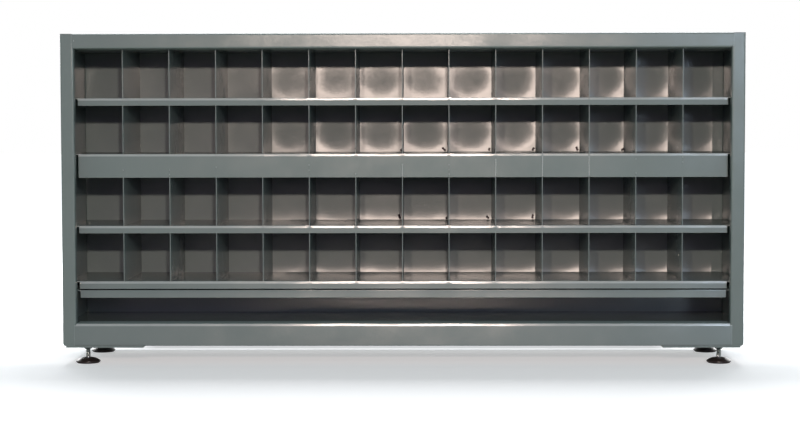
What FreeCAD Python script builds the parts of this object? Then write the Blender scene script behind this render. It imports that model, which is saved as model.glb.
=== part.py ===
"""Pigeonhole mail sorter: a welded steel cabinet holding an egg-crate insert, on four levelling feet.

Millimetres, +Z up. The solids are modelled with the cabinet's front face at Y = 0 and its depth along +Y,
and are moved as they are written, so that the origin is at the middle of the footprint, on the floor.
"""

import math
import os

import FreeCAD, Part

Vector = FreeCAD.Vector

# ---------------------------------------------------------------- driving dimensions

# Overall sizes. The height follows from the rows below.
overall_width = 1829.0
overall_depth = 356.0
foot_height = 52.0  # floor to the underside of the shell

# Sheet and plate
shell_sheet = 2.7  # 12 gauge
insert_sheet = 1.9  # 14 gauge
corner_plate_thickness = 4.8
shell_bend_radius = 2.0  # inside radius
insert_bend_radius = 2.5

# Front frame
stile_width = 36.0
stile_return = 25.0
header_height = 40.0
header_return = 20.0
header_lap = 1.2  # header's lower edge above the ceiling of the top row
rail_height = 60.0
rail_top_return = 64.0
rail_bottom_return = 38.0
shell_corner_radius = 8.0  # bottom outer corner

# Base and back
rear_rail_flange = 25.0
back_flange = 10.4  # back sheet's rear face to the shell's rear edge
floor_setback = 27.0  # front edge of the floor, behind the stile returns

# Rows
columns = 14
row_height = 130.5  # shelf to the lip above it
lip_height = {1: 20.0, 2: 63.5, 3: 20.0, 4: 20.0}
slot_height = 67.0  # rail to the support shelf's lip
support_lip_height = 20.5
lip_gap = 3.8  # between the support shelf and the lip of the lowest shelf
insert_setback = 38.1  # lips behind the front face
insert_side_clearance = 0.5  # insert to the cabinet's side webs
lip_end_gap = 4.0  # lips' ends inside the stiles' inner edges
support_lip_end_gap = 6.0
support_side_flange_inset = 7.0
insert_top_lip = 18.0
half_lap = 0.5  # share of the insert's depth cut from each sheet of a crossing
fit_gap = 0.15  # clearance on each side of a sheet in its slot
overshoot = 1.0  # how far a cutting shape passes the face it opens

# Tabs of the dividers and shelves
tab_length = 25.0
tab_inset = 45.0  # from the insert's front and back to the middle of a tab

# Insert fixing: 5/16 bolts
fixing_flange = 30.0
fixing_inset = 60.0  # from the insert's front and back
bolt_radius = 3.95
bolt_hole_clearance = 0.45
bolt_head_shoulder = 2.4  # head or nut face beyond the bolt's radius
bolt_head_height = 5.3
nut_height = 6.7
bolt_end = 1.6  # bolt beyond its nut
thread_clearance = 0.05

# Corner plates and feet: 1/2-13 studs
corner_plate_length = 208.0
corner_plate_depth = 114.0
corner_plate_end_inset = 8.0
corner_plate_edge_inset = 1.5
corner_plate_cut = 45.0
foot_inset_x = 57.5
foot_inset_y = 57.0
stud_radius = 6.35
stud_hole_clearance = 0.75
stud_rise = 38.0  # end of the stud above the shell's underside
stud_chamfer = 1.2
wrench_flat_depth = 0.8
wrench_flat_height = 7.0
wrench_flat_rise = 1.5  # above the pad
weld_nut_wall = 2.8  # at the tip
weld_nut_flare = 5.8  # how much wider the nut is where it is welded on
weld_nut_height = 9.0
pad_radius = 33.0
pad_height = 15.0
pad_rim_height = 4.0
pad_hub_rim = 4.75  # flat top round the stud
sole_inset = 3.0  # sole inside the pad's rim
sole_thickness = 2.5
foot_collar_step = 1.25  # collar at the foot of the stud, trapped in the pad
foot_collar_height = 6.0
foot_collar_rise = 4.0
socket_clearance = 0.05
socket_mouth_clearance = 0.4

# ---------------------------------------------------------------- levels and places

half_width = overall_width / 2
web_inner = half_width - shell_sheet
stile_inner = half_width - stile_width
shell_bend = shell_bend_radius + shell_sheet  # outside radius, and how far a bend reaches
insert_bend = insert_bend_radius + insert_sheet
frame_joint = stile_inner + shell_bend  # header and rail butt against the flat of the stiles
shell_bottom = foot_height
rail_top = shell_bottom + rail_height
floor_top = rail_top - shell_sheet
floor_underside = floor_top - shell_sheet
support_lip_bottom = rail_top + slot_height
support_top = support_lip_bottom + support_lip_height

shelf_top = {}
level = support_top + lip_gap
for number in (4, 3, 2, 1):
    shelf_top[number] = level + lip_height[number]
    level = shelf_top[number] + row_height
insert_ceiling = level
header_bottom = insert_ceiling + header_lap
shell_top = header_bottom + header_height

lip_face = insert_setback
back_face = overall_depth - back_flange - shell_sheet
insert_depth = back_face - lip_face
lap_line = lip_face + insert_depth * half_lap
insert_half = web_inner - insert_side_clearance
insert_inner = insert_half - insert_sheet
lip_half = stile_inner - lip_end_gap
column_pitch = (2 * stile_inner + insert_sheet) / columns  # openings equal, the end ones up to the stiles
divider_x = [(index - columns / 2) * column_pitch for index in range(1, columns)]
tab_y = (lip_face + tab_inset, back_face - tab_inset)
fixing_x = insert_half - fixing_flange / 2
fixing_y = (lip_face + fixing_inset, back_face - fixing_inset)
fixings = [(x, y) for x in (-fixing_x, fixing_x) for y in fixing_y]
bolt_hole_radius = bolt_radius + bolt_hole_clearance
bolt_head_flats = 2 * (bolt_radius + bolt_head_shoulder)
plate_underside = shell_bottom - corner_plate_thickness
foot_x = half_width - foot_inset_x
stud_top = shell_bottom + stud_rise
foot_collar_radius = stud_radius + foot_collar_step


# ---------------------------------------------------------------- helpers


def block(x, y, z):
    """Box from three (low, high) pairs."""
    corner = Vector(x[0], y[0], z[0])
    return Part.makeBox(x[1] - x[0], y[1] - y[0], z[1] - z[0], corner)


def mirrored(shape):
    """The same piece for the other side of the cabinet."""
    return shape.mirror(Vector(0, 0, 0), Vector(1, 0, 0))


def rounded_line(points, radii, place):
    """Edges of an open line through 2D points, with an arc at each inner point."""
    edges = []
    start = points[0]
    for before, corner, after, radius in zip(points, points[1:], points[2:], radii):
        into = unit(before, corner)
        out = unit(corner, after)
        turn = math.acos(max(-1.0, min(1.0, into[0] * out[0] + into[1] * out[1])))
        reach = radius * math.tan(turn / 2)
        first = (corner[0] - into[0] * reach, corner[1] - into[1] * reach)
        last = (corner[0] + out[0] * reach, corner[1] + out[1] * reach)
        inward = (out[0] - into[0], out[1] - into[1])
        length = math.hypot(*inward)
        sag = radius / math.cos(turn / 2) - radius
        middle = (corner[0] + inward[0] / length * sag, corner[1] + inward[1] / length * sag)
        edges.append(Part.makeLine(place(*start), place(*first)))
        edges.append(Part.Arc(place(*first), place(*middle), place(*last)).toShape())
        start = last
    edges.append(Part.makeLine(place(*start), place(*points[-1])))
    return edges


def unit(start, end):
    """Direction from one 2D point to another."""
    length = math.dist(start, end)
    return ((end[0] - start[0]) / length, (end[1] - start[1]) / length)


def bent_sheet(path, thickness, bend_radius, place, sweep):
    """Sheet bent along path, lying on the path's left, drawn by place and extruded by sweep."""
    steps = [unit(start, end) for start, end in zip(path, path[1:])]
    normals = [(-step[1], step[0]) for step in steps]
    far = [(path[0][0] + thickness * normals[0][0], path[0][1] + thickness * normals[0][1])]
    near_radii = []
    far_radii = []
    for corner, first, second in zip(path[1:], normals, normals[1:]):
        scale = thickness / (1 + first[0] * second[0] + first[1] * second[1])
        far.append((corner[0] + (first[0] + second[0]) * scale, corner[1] + (first[1] + second[1]) * scale))
        turns_left = first[0] * second[1] - first[1] * second[0] > 0
        near_radii.append(bend_radius + thickness if turns_left else bend_radius)
        far_radii.append(bend_radius if turns_left else bend_radius + thickness)
    end = path[-1]
    far.append((end[0] + thickness * normals[-1][0], end[1] + thickness * normals[-1][1]))
    edges = rounded_line(path, near_radii, place)
    edges.append(Part.makeLine(place(*path[-1]), place(*far[-1])))
    edges += rounded_line(far[::-1], far_radii[::-1], place)
    edges.append(Part.makeLine(place(*far[0]), place(*path[0])))
    outline = Part.Wire(Part.__sortEdges__(edges))
    return Part.Face(outline).extrude(sweep)


def section_at_x(x):
    """Places a (y, z) point on a plane across the cabinet's width."""
    return lambda y, z: Vector(x, y, z)


def crosswise(path, thickness, bend_radius, half_length):
    """Bent sheet with a (y, z) section, centred on the cabinet's middle plane."""
    sweep = Vector(2 * half_length, 0, 0)
    return bent_sheet(path, thickness, bend_radius, section_at_x(-half_length), sweep)


def upright_plate(outline, x):
    """Flat sheet of the insert with a (y, z) outline, centred on x."""
    place = section_at_x(x - insert_sheet / 2)
    wire = Part.makePolygon([place(*point) for point in outline + outline[:1]])
    return Part.Face(wire).extrude(Vector(insert_sheet, 0, 0))


def turned(profile, x, y):
    """Solid of revolution about an upright axis from the corners of an (r, z) profile."""
    corners = [Vector(r, 0, z) for r, z in profile + profile[:1]]
    solid = Part.Face(Part.makePolygon(corners)).revolve(Vector(0, 0, 0), Vector(0, 0, 1), 360)
    solid.translate(Vector(x, y, 0))
    return solid


def hexagon(flats, height, x, y, bottom):
    """Upright hexagonal prism."""
    corner = flats / math.sqrt(3)
    points = []
    for index in range(7):
        angle = math.radians(60 * index)
        points.append(Vector(x + corner * math.cos(angle), y + corner * math.sin(angle), bottom))
    return Part.Face(Part.makePolygon(points)).extrude(Vector(0, 0, height))


def rod(radius, bottom, top, x, y):
    """Upright cylinder."""
    return Part.makeCylinder(radius, top - bottom, Vector(x, y, bottom))


# ---------------------------------------------------------------- shell


def side_panel():
    """Right side: web, stile, return lip and bottom flange from one sheet.

    The stile's return and its bend stop at the header and the rail, which butt against the stile's flat.
    """
    plan = [
        (stile_inner, stile_return),
        (stile_inner, 0),
        (half_width, 0),
        (half_width, overall_depth),
    ]
    upright = bent_sheet(
        plan,
        shell_sheet,
        shell_bend_radius,
        lambda x, y: Vector(x, y, shell_bottom),
        Vector(0, 0, shell_top - shell_bottom),
    )
    envelope = block((stile_inner, half_width), (0, overall_depth), (shell_bottom, shell_top))
    corner_middle = Vector(half_width, overall_depth / 2, shell_bottom)
    corner = [edge for edge in envelope.Edges if edge.CenterOfMass.isEqual(corner_middle, 0.01)]
    upright = upright.common(envelope.makeFillet(shell_corner_radius, corner))
    inner_edge = (stile_inner - overshoot, frame_joint)
    return_depth = (-overshoot, stile_return + overshoot)
    rail_room = block(inner_edge, return_depth, (shell_bottom - overshoot, rail_top - shell_bend))
    header_room = block(inner_edge, return_depth, (header_bottom + shell_bend, shell_top + overshoot))
    flange_section = [
        (frame_joint, shell_bottom),
        (half_width, shell_bottom),
        (half_width, rail_top),
    ]
    flange = bent_sheet(
        flange_section,
        shell_sheet,
        shell_corner_radius - shell_sheet,
        lambda x, z: Vector(x, shell_sheet, z),
        Vector(0, back_face - shell_sheet, 0),
    )
    top_sheet_room = block(
        (frame_joint, web_inner),
        (shell_sheet, overall_depth + overshoot),
        (shell_top - shell_sheet, shell_top + overshoot),
    )
    upright = upright.cut([rail_room, header_room, top_sheet_room])
    return upright.fuse(flange).removeSplitter()


def top_panel():
    """Top sheet with the header and its return, and ears that reach over the stiles to the side webs."""
    section = [
        (overall_depth, shell_top),
        (0, shell_top),
        (0, header_bottom),
        (header_return, header_bottom),
    ]
    panel = crosswise(section, shell_sheet, shell_bend_radius, frame_joint)
    ear = block((frame_joint, web_inner), (shell_sheet, overall_depth), (shell_top - shell_sheet, shell_top))
    panel = panel.fuse([ear, mirrored(ear)]).removeSplitter()
    return without_return_ends(panel, header_return, (header_bottom - overshoot, header_bottom + shell_bend))


def without_return_ends(panel, depth, heights):
    """Header or rail whose return stops at the stiles' inner edges, where its face runs on."""
    end = block((stile_inner, frame_joint + overshoot), (-overshoot, depth + overshoot), heights)
    return panel.cut([end, mirrored(end)])


def bottom_rail():
    """Front channel of the base: deep top return, face and bottom return."""
    section = [
        (rail_top_return, rail_top),
        (0, rail_top),
        (0, shell_bottom),
        (rail_bottom_return, shell_bottom),
    ]
    rail = crosswise(section, shell_sheet, shell_bend_radius, frame_joint)
    return without_return_ends(rail, rail_top_return, (rail_top - shell_bend, rail_top + overshoot))


def rear_rail():
    """Rear channel of the base, open to the front, against the back sheet."""
    section = [
        (back_face - rear_rail_flange, shell_bottom),
        (back_face, shell_bottom),
        (back_face, floor_underside),
        (back_face - rear_rail_flange, floor_underside),
    ]
    return crosswise(section, shell_sheet, shell_bend_radius, frame_joint)


def floor_panel():
    """Floor of the open slot, lapped under the rail's top return."""
    return block((-web_inner, web_inner), (floor_setback, back_face), (floor_underside, floor_top))


def back_panel():
    """Recessed back pan: a sheet with four flanges turned to the rear, notched at its corners."""
    high = shell_top - shell_sheet
    plan = [
        (-web_inner, overall_depth),
        (-web_inner, back_face),
        (web_inner, back_face),
        (web_inner, overall_depth),
    ]
    across = bent_sheet(
        plan,
        shell_sheet,
        shell_bend_radius,
        lambda x, y: Vector(x, y, shell_bottom + shell_bend),
        Vector(0, 0, high - shell_bottom - 2 * shell_bend),
    )
    section = [
        (overall_depth, high),
        (back_face, high),
        (back_face, shell_bottom),
        (overall_depth, shell_bottom),
    ]
    upright = crosswise(section, shell_sheet, shell_bend_radius, web_inner - shell_bend)
    return across.fuse(upright).removeSplitter()


def support_shelf():
    """Pan that carries the insert, with a short front lip and flanges against the side webs."""
    support_lip_half = stile_inner - support_lip_end_gap
    lip = crosswise(
        [(back_face, support_top), (lip_face, support_top), (lip_face, support_lip_bottom)],
        insert_sheet,
        insert_bend_radius,
        support_lip_half,
    )
    flange_front = lip_face + support_side_flange_inset
    flange_back = back_face - support_side_flange_inset
    wing_inner = support_lip_half - stile_width
    side = bent_sheet(
        [(web_inner, support_lip_bottom), (web_inner, support_top), (wing_inner, support_top)],
        insert_sheet,
        insert_bend_radius,
        lambda x, z: Vector(x, flange_front, z),
        Vector(0, flange_back - flange_front, 0),
    )
    wing = block(
        (wing_inner, web_inner - insert_bend),
        (lip_face + insert_bend, back_face),
        (support_top - insert_sheet, support_top),
    )
    shelf = lip.fuse([side, mirrored(side), wing, mirrored(wing)]).removeSplitter()
    low = support_top - insert_sheet - overshoot
    for x, y in fixings:
        shelf = shelf.cut(rod(bolt_hole_radius, low, support_top + overshoot, x, y))
    return shelf


def corner_plate():
    """Right front plate, with its inner rear corner cut off and a clearance hole for the stud."""
    outer = half_width - corner_plate_end_inset
    inner = outer - corner_plate_length
    front = corner_plate_edge_inset
    rear = front + corner_plate_depth
    outline = [
        (inner, front),
        (outer, front),
        (outer, rear),
        (inner + corner_plate_cut, rear),
        (inner, rear - corner_plate_cut),
    ]
    corners = [Vector(x, y, plate_underside) for x, y in outline + outline[:1]]
    plate = Part.Face(Part.makePolygon(corners)).extrude(Vector(0, 0, corner_plate_thickness))
    hole_radius = stud_radius + stud_hole_clearance
    hole = rod(hole_radius, plate_underside - overshoot, shell_bottom + overshoot, foot_x, foot_inset_y)
    return plate.cut(hole)


def weld_nut(x, y):
    """Round nut, flared to the corner plate that it is welded under."""
    bottom = plate_underside - weld_nut_height
    bore = stud_radius + thread_clearance
    tip = bore + weld_nut_wall
    root = tip + weld_nut_flare
    return turned([(bore, plate_underside), (root, plate_underside), (tip, bottom), (bore, bottom)], x, y)


# ---------------------------------------------------------------- insert


def lip_notch(number):
    """Lower and upper points of the notch that a sheet's front edge has round a shelf's lip."""
    behind_lip = lip_face + insert_sheet + fit_gap
    under_lip = shelf_top[number] - lip_height[number] - fit_gap
    over_sheet = shelf_top[number] + fit_gap
    lower = [(lip_face, under_lip), (behind_lip, under_lip)]
    upper = [(behind_lip, over_sheet), (lip_face, over_sheet)]
    return lower, upper


def half_lap_slot(number):
    """Points of a divider's slot for a shelf's sheet, from behind the lip to the slot's far end."""
    behind_lip = lip_face + insert_sheet + fit_gap
    under_sheet = shelf_top[number] - insert_sheet - fit_gap
    slot_end = lap_line + fit_gap
    return [
        (behind_lip, under_sheet - insert_bend_radius),
        (behind_lip + insert_bend_radius, under_sheet),
        (slot_end, under_sheet),
        (slot_end, shelf_top[number] + fit_gap),
    ]


def divider(x):
    """Full-height divider: front slots for three shelves, and tabs into the lowest shelf and the top."""
    bottom = shelf_top[4]
    half_tab = tab_length / 2
    outline = [(lip_face, bottom)]
    for number in (3, 2, 1):
        lower, upper = lip_notch(number)
        outline += lower + half_lap_slot(number) + upper[1:]
    outline.append((lip_face, insert_ceiling))
    for y in tab_y:
        outline += [
            (y - half_tab, insert_ceiling),
            (y - half_tab, insert_ceiling + insert_sheet),
            (y + half_tab, insert_ceiling + insert_sheet),
            (y + half_tab, insert_ceiling),
        ]
    outline += [(back_face, insert_ceiling), (back_face, bottom)]
    for y in tab_y[::-1]:
        outline += [
            (y + half_tab, bottom),
            (y + half_tab, bottom - insert_sheet),
            (y - half_tab, bottom - insert_sheet),
            (y - half_tab, bottom),
        ]
    return upright_plate(outline, x)


def tab_slot(x, y, sheet_top):
    """Room for one divider tab through a level sheet."""
    half_x = insert_sheet / 2 + fit_gap
    half_y = tab_length / 2 + fit_gap
    heights = (sheet_top - insert_sheet - overshoot, sheet_top + overshoot)
    return block((x - half_x, x + half_x), (y - half_y, y + half_y), heights)


def divider_slot(x, sheet_top):
    """Slot from a shelf's back edge to the half-lap, for one divider."""
    half_slot = insert_sheet / 2 + fit_gap
    heights = (sheet_top - insert_sheet - overshoot, sheet_top + overshoot)
    return block((x - half_slot, x + half_slot), (lap_line - fit_gap, back_face + overshoot), heights)


def shelf_end(sheet_top):
    """Right end of a shelf's sheet, which runs on past its lip, with tabs into the insert's side."""
    heights = (sheet_top - insert_sheet, sheet_top)
    sheet = block((lip_half, insert_inner), (lip_face + insert_bend, back_face), heights)
    half_tab = tab_length / 2
    tabs = [block((insert_inner, insert_half), (y - half_tab, y + half_tab), heights) for y in tab_y]
    return sheet.fuse(tabs)


def shelf(number):
    """Level sheet with a front lip; the upper three are slotted from the back for the dividers."""
    top = shelf_top[number]
    bottom = top - lip_height[number]
    section = [(back_face, top), (lip_face, top), (lip_face, bottom)]
    end = shelf_end(top)
    sheet = crosswise(section, insert_sheet, insert_bend_radius, lip_half)
    sheet = sheet.fuse([end, mirrored(end)]).removeSplitter()
    if number == 4:
        return sheet.cut([tab_slot(x, y, top) for x in divider_x for y in tab_y])
    return sheet.cut([divider_slot(x, top) for x in divider_x])


def insert_side():
    """Right side of the insert: slotted for the shelf tabs, with a fixing flange."""
    web = block((insert_inner, insert_half), (lip_face, back_face), (support_top, insert_ceiling))
    through = (insert_inner - overshoot, insert_half + overshoot)
    half_slot = tab_length / 2 + fit_gap
    for top in shelf_top.values():
        heights = (top - insert_sheet - fit_gap, top + fit_gap)
        web = web.cut([block(through, (y - half_slot, y + half_slot), heights) for y in tab_y])
    upstand = support_top + lip_gap + insert_sheet
    section = [
        (insert_half - fixing_flange, support_top),
        (insert_half, support_top),
        (insert_half, upstand),
    ]
    front = lip_face + support_side_flange_inset
    back = back_face - support_side_flange_inset
    flange = bent_sheet(
        section,
        insert_sheet,
        insert_bend_radius,
        lambda x, z: Vector(x, front, z),
        Vector(0, back - front, 0),
    )
    web = web.cut(block(through, (front, back), (support_top - overshoot, upstand)))
    side = web.fuse(flange).removeSplitter()
    high = support_top + insert_sheet + overshoot
    return side.cut([rod(bolt_hole_radius, support_top - overshoot, high, fixing_x, y) for y in fixing_y])


def insert_top():
    """Ceiling of the top row, with an upturned front lip and slots for the divider tabs."""
    top = insert_ceiling + insert_sheet
    section = [
        (lip_face, insert_ceiling + insert_top_lip),
        (lip_face, insert_ceiling),
        (back_face, insert_ceiling),
    ]
    sheet = crosswise(section, insert_sheet, insert_bend_radius, insert_half)
    return sheet.cut([tab_slot(x, y, top) for x in divider_x for y in tab_y])


def insert_bolt(x, y):
    """Hexagon bolt up through the support shelf and the insert's fixing flange."""
    shelf_underside = support_top - insert_sheet
    end = support_top + insert_sheet + nut_height + bolt_end
    head = hexagon(bolt_head_flats, bolt_head_height, x, y, shelf_underside - bolt_head_height)
    return head.fuse(rod(bolt_radius, shelf_underside, end, x, y)).removeSplitter()


def insert_nut(x, y):
    """Hexagon nut on the fixing flange."""
    bottom = support_top + insert_sheet
    nut = hexagon(bolt_head_flats, nut_height, x, y, bottom)
    top = bottom + nut_height
    return nut.cut(rod(bolt_radius + thread_clearance, bottom - overshoot, top + overshoot, x, y))


# ---------------------------------------------------------------- feet


def leveller_stud(x, y):
    """Threaded stud with a collar at its foot, wrench flats above the pad and a chamfered end."""
    collar_top = foot_collar_rise + foot_collar_height
    profile = [
        (0, foot_collar_rise),
        (foot_collar_radius, foot_collar_rise),
        (foot_collar_radius, collar_top),
        (stud_radius, collar_top),
        (stud_radius, stud_top - stud_chamfer),
        (stud_radius - stud_chamfer, stud_top),
        (0, stud_top),
    ]
    stud = turned(profile, x, y)
    low = pad_height + wrench_flat_rise
    beyond = stud_radius + overshoot
    for side in (-1, 1):
        across = sorted((y + side * (stud_radius - wrench_flat_depth), y + side * beyond))
        stud = stud.cut(block((x - beyond, x + beyond), across, (low, low + wrench_flat_height)))
    return stud


def leveller_pad(x, y):
    """Conical disc moulded round the stud's collar, which turns in it."""
    socket = foot_collar_radius + socket_clearance
    socket_floor = foot_collar_rise - socket_clearance
    socket_roof = foot_collar_rise + foot_collar_height + socket_clearance
    mouth = stud_radius + socket_mouth_clearance
    rim_top = sole_thickness + pad_rim_height
    profile = [
        (0, sole_thickness),
        (pad_radius, sole_thickness),
        (pad_radius, rim_top),
        (mouth + pad_hub_rim, pad_height),
        (mouth, pad_height),
        (mouth, socket_roof),
        (socket, socket_roof),
        (socket, socket_floor),
        (0, socket_floor),
    ]
    return turned(profile, x, y)


def leveller_sole(x, y):
    """Rubber disc under the pad."""
    return rod(pad_radius - sole_inset, 0, sole_thickness, x, y)


# ---------------------------------------------------------------- assembly

parts = {}

panel = side_panel()
parts["side_panel_right"] = panel
parts["side_panel_left"] = mirrored(panel)
parts["top_panel"] = top_panel()
parts["bottom_rail"] = bottom_rail()
parts["rear_rail"] = rear_rail()
parts["floor_panel"] = floor_panel()
parts["back_panel"] = back_panel()
parts["support_shelf"] = support_shelf()

side = insert_side()
parts["insert_side_right"] = side
parts["insert_side_left"] = mirrored(side)
parts["insert_top"] = insert_top()
for number in shelf_top:
    parts[f"shelf_{number}"] = shelf(number)
for index, x in enumerate(divider_x, start=1):
    parts[f"divider_{index:02d}"] = divider(x)

parts["insert_bolts"] = Part.makeCompound([insert_bolt(x, y) for x, y in fixings])
parts["insert_nuts"] = Part.makeCompound([insert_nut(x, y) for x, y in fixings])

middle_plane = (Vector(0, overall_depth / 2, 0), Vector(0, 1, 0))
front_plate = corner_plate()
rear_plate = front_plate.mirror(*middle_plane)
feet = {
    "front_left": (-foot_x, foot_inset_y, mirrored(front_plate)),
    "front_right": (foot_x, foot_inset_y, front_plate),
    "rear_left": (-foot_x, overall_depth - foot_inset_y, mirrored(rear_plate)),
    "rear_right": (foot_x, overall_depth - foot_inset_y, rear_plate),
}
for place, (x, y, plate) in feet.items():
    parts[f"corner_plate_{place}"] = plate
    parts[f"leveller_stud_{place}"] = leveller_stud(x, y)
    parts[f"leveller_pad_{place}"] = leveller_pad(x, y)
    parts[f"leveller_sole_{place}"] = leveller_sole(x, y)
parts["foot_weld_nuts"] = Part.makeCompound([weld_nut(x, y) for x, y, plate in feet.values()])

os.makedirs("parts", exist_ok=True)
for name, shape in parts.items():
    shape.translate(Vector(0, -overall_depth / 2, 0))
    shape.exportStep(f"parts/{name}.step")
print(len(parts), "parts,", round(shell_top, 2), "mm high")
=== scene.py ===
"""Looks of the pigeonhole mail sorter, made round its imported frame.

Run as a script, it makes the whole scene. It is laid out as an add-on: each group of pieces is an operator,
listed in the sidebar, and the property groups hold the sizes and colours. Everything is in metres, in the
frame's own axes.
"""

import math
from collections import namedtuple

import bmesh
import bpy
from mathutils import Matrix, Vector


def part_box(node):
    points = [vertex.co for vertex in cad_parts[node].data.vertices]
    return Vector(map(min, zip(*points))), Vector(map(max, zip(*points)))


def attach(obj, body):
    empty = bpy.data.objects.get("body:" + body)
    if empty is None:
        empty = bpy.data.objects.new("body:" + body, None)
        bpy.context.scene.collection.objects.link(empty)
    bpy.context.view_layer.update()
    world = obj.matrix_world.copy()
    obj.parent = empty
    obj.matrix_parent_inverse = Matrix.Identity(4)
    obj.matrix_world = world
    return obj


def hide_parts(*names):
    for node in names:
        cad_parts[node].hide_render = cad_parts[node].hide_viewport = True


bl_info = {
    "name": "Pigeonhole mail sorter looks",
    "version": (1, 0, 0),
    "blender": (4, 5, 0),
    "location": "3D view > Sidebar > Mail sorter",
    "description": "Enamel, welds, threads and feet for the pigeonhole mail sorter",
    "category": "Object",
}

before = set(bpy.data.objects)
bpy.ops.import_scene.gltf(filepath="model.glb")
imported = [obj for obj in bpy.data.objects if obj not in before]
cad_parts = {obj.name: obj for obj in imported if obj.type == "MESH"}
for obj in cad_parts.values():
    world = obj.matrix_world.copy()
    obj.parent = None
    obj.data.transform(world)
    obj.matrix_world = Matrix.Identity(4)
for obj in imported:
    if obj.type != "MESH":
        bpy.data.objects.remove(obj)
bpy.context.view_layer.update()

MM = 0.001
IMAGE_WIDTH = 800
SENSOR_WIDTH = 36.0
WHITE = "#ffffff"
CORNERS = ("front_left", "front_right", "rear_left", "rear_right")


# ---------------------------------------------------------------- places taken from the frame


def top_of(node):
    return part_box(node)[1][2]


def middle_of(node):
    low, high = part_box(node)
    return (low + high) / 2


def divider_x(number):
    return middle_of(f"divider_{number:02d}")[0]


CELL_PITCH = divider_x(8) - divider_x(7)
BACK_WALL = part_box("back_panel")[0][1]
FRONT_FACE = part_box("side_panel_left")[0][1]
LIP_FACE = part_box("shelf_2")[0][1]


# ---------------------------------------------------------------- settings


def hex_colour(name, about, value):
    return bpy.props.StringProperty(name=name, description=f"{about}, sRGB hex", default=value)


def number(name, about, value, **limits):
    return bpy.props.FloatProperty(name=name, description=about, default=value, **limits)


def length(name, about, value):
    return number(name, about, value, subtype="DISTANCE")


def angle(name, about, degrees):
    return number(name, about, math.radians(degrees), subtype="ANGLE")


class FinishSettings(bpy.types.PropertyGroup):
    """Colours and gloss of the sorter's finishes."""

    enamel: hex_colour("Enamel", "Colour of the baked enamel", "#707f7e")
    # also the colour of the painted highlights on the edges, on the rolled tops of the lips and on the welds
    wear_and_highlight_enamel: hex_colour("Worn enamel", "Colour where the enamel runs thin over an edge", "#a9b4b3")
    enamel_roughness: number("Enamel roughness", "Roughness of the enamel", 0.25, min=0.0, max=1.0)
    edge_width: length("Edge width", "How far the thin enamel reaches from an edge", 1.6 * MM)
    zinc: hex_colour("Zinc plate", "Colour of the plated studs and fixings", "#c9cecd")
    pad: hex_colour("Foot pad", "Colour of the moulded pads", "#2a2220")
    rubber: hex_colour("Sole", "Colour of the rubber soles", "#1b1a19")


class FootSettings(bpy.types.PropertyGroup):
    """Sizes of the levelling feet."""

    thread_pitch: length("Thread pitch", "Rise of one turn of the stud's thread", 1.9538 * MM)
    thread_depth: length("Thread depth", "Depth of the stud's thread", 1.15 * MM)
    shank_top: length("Shank top", "Height at which the thread begins", 25.0 * MM)
    end_chamfer: length("End chamfer", "Height of the bevel on the stud's end", 1.2 * MM)
    collar_step: length("Collar step", "How much wider than the stud the collar is, at each side", 1.25 * MM)
    collar_height: length("Collar height", "Height of the stud's collar", 6.0 * MM)
    flat_depth: length("Wrench flat depth", "How deep the wrench flats are cut", 0.8 * MM)
    flat_height: length("Wrench flat height", "Height of the wrench flats", 7.0 * MM)
    flat_rise: length("Wrench flat rise", "Gap between the pad and the wrench flats", 1.5 * MM)


class WeldSettings(bpy.types.PropertyGroup):
    """Sizes of the welds, and the colour of the scorched ones."""

    bead_width: length("Bead width", "Width of a weld bead", 4.6 * MM)
    bead_height: length("Bead height", "How proud a weld bead stands", 2.0 * MM)
    ripple: length("Ripple", "Length of one ripple of a bead", 8.4 * MM)
    scorched: hex_colour("Scorched weld", "Colour of the enamel on scorched steel", "#3b3335")


class StageSettings(bpy.types.PropertyGroup):
    """Camera, lamps and room light."""

    camera_place: bpy.props.FloatVectorProperty(
        name="Camera", description="Where the camera stands", default=(0.0583, -5.1346, 0.6617),
        subtype="XYZ",
    )
    camera_turn: angle("Turn", "How far the camera looks to the left", 0.745)
    camera_tilt: angle("Tilt", "How far the camera looks down", 2.971)
    camera_roll: angle("Roll", "How far the camera leans", -0.104)
    focal_pixels: number("Focal length", "Focal length in pixels of the 800-pixel frame", 1854.0)
    lamp_height: length("Lamp height", "Height of the two lamps in front", 1.455)
    lamp_y: length("Lamp distance", "Y of the two lamps in front", -4.94)
    lamp_x: bpy.props.FloatVectorProperty(
        name="Lamps", description="X of the two lamps in front", default=(-0.345, 0.21), size=2
    )
    lamp_size: length("Lamp size", "Side of each lamp's square face", 0.10)
    lamp_power: bpy.props.FloatVectorProperty(
        name="Lamp power", description="Watts of each lamp in front", default=(40.0, 62.0), size=2
    )
    lamp_colour: hex_colour("Lamp colour", "Colour of the two lamps in front", "#ffe8da")
    window_power: number("Window power", "Watts of the cool light at the right", 38.0)
    window_colour: hex_colour("Window colour", "Colour of the cool light", "#c0d2e4")
    overhead_power: number("Overhead power", "Watts of the broad light above", 110.0)
    rear_power: number("Rear power", "Watts of each of the two lights behind", 30.0)
    air_colour: hex_colour("Room light", "Colour of the light from all round", "#b0c3c8")
    air_strength: number("Room light strength", "Strength of the light from all round", 0.69)
    front_colour: hex_colour("Front light", "Colour of the light from straight in front", "#f8d0fb")
    front_strength: number("Front light strength", "Strength of the light from straight in front", 1.7)
    dim_room: hex_colour("Dim room", "Colour of the room in front, as the gloss shows it", "#685c72")


# ---------------------------------------------------------------- node tools


def colour(hex_text):
    """Linear RGBA from an sRGB hex colour."""
    values = [int(hex_text[i : i + 2], 16) / 255 for i in (1, 3, 5)]
    linear = [v / 12.92 if v <= 0.04045 else ((v + 0.055) / 1.055) ** 2.4 for v in values]
    return (*linear, 1.0)


def shaded(hex_text, share, lift=0.0):
    """Linear RGBA of an sRGB hex colour, made darker or lighter."""
    return [value * share + lift for value in colour(hex_text)[:3]] + [1.0]


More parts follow.
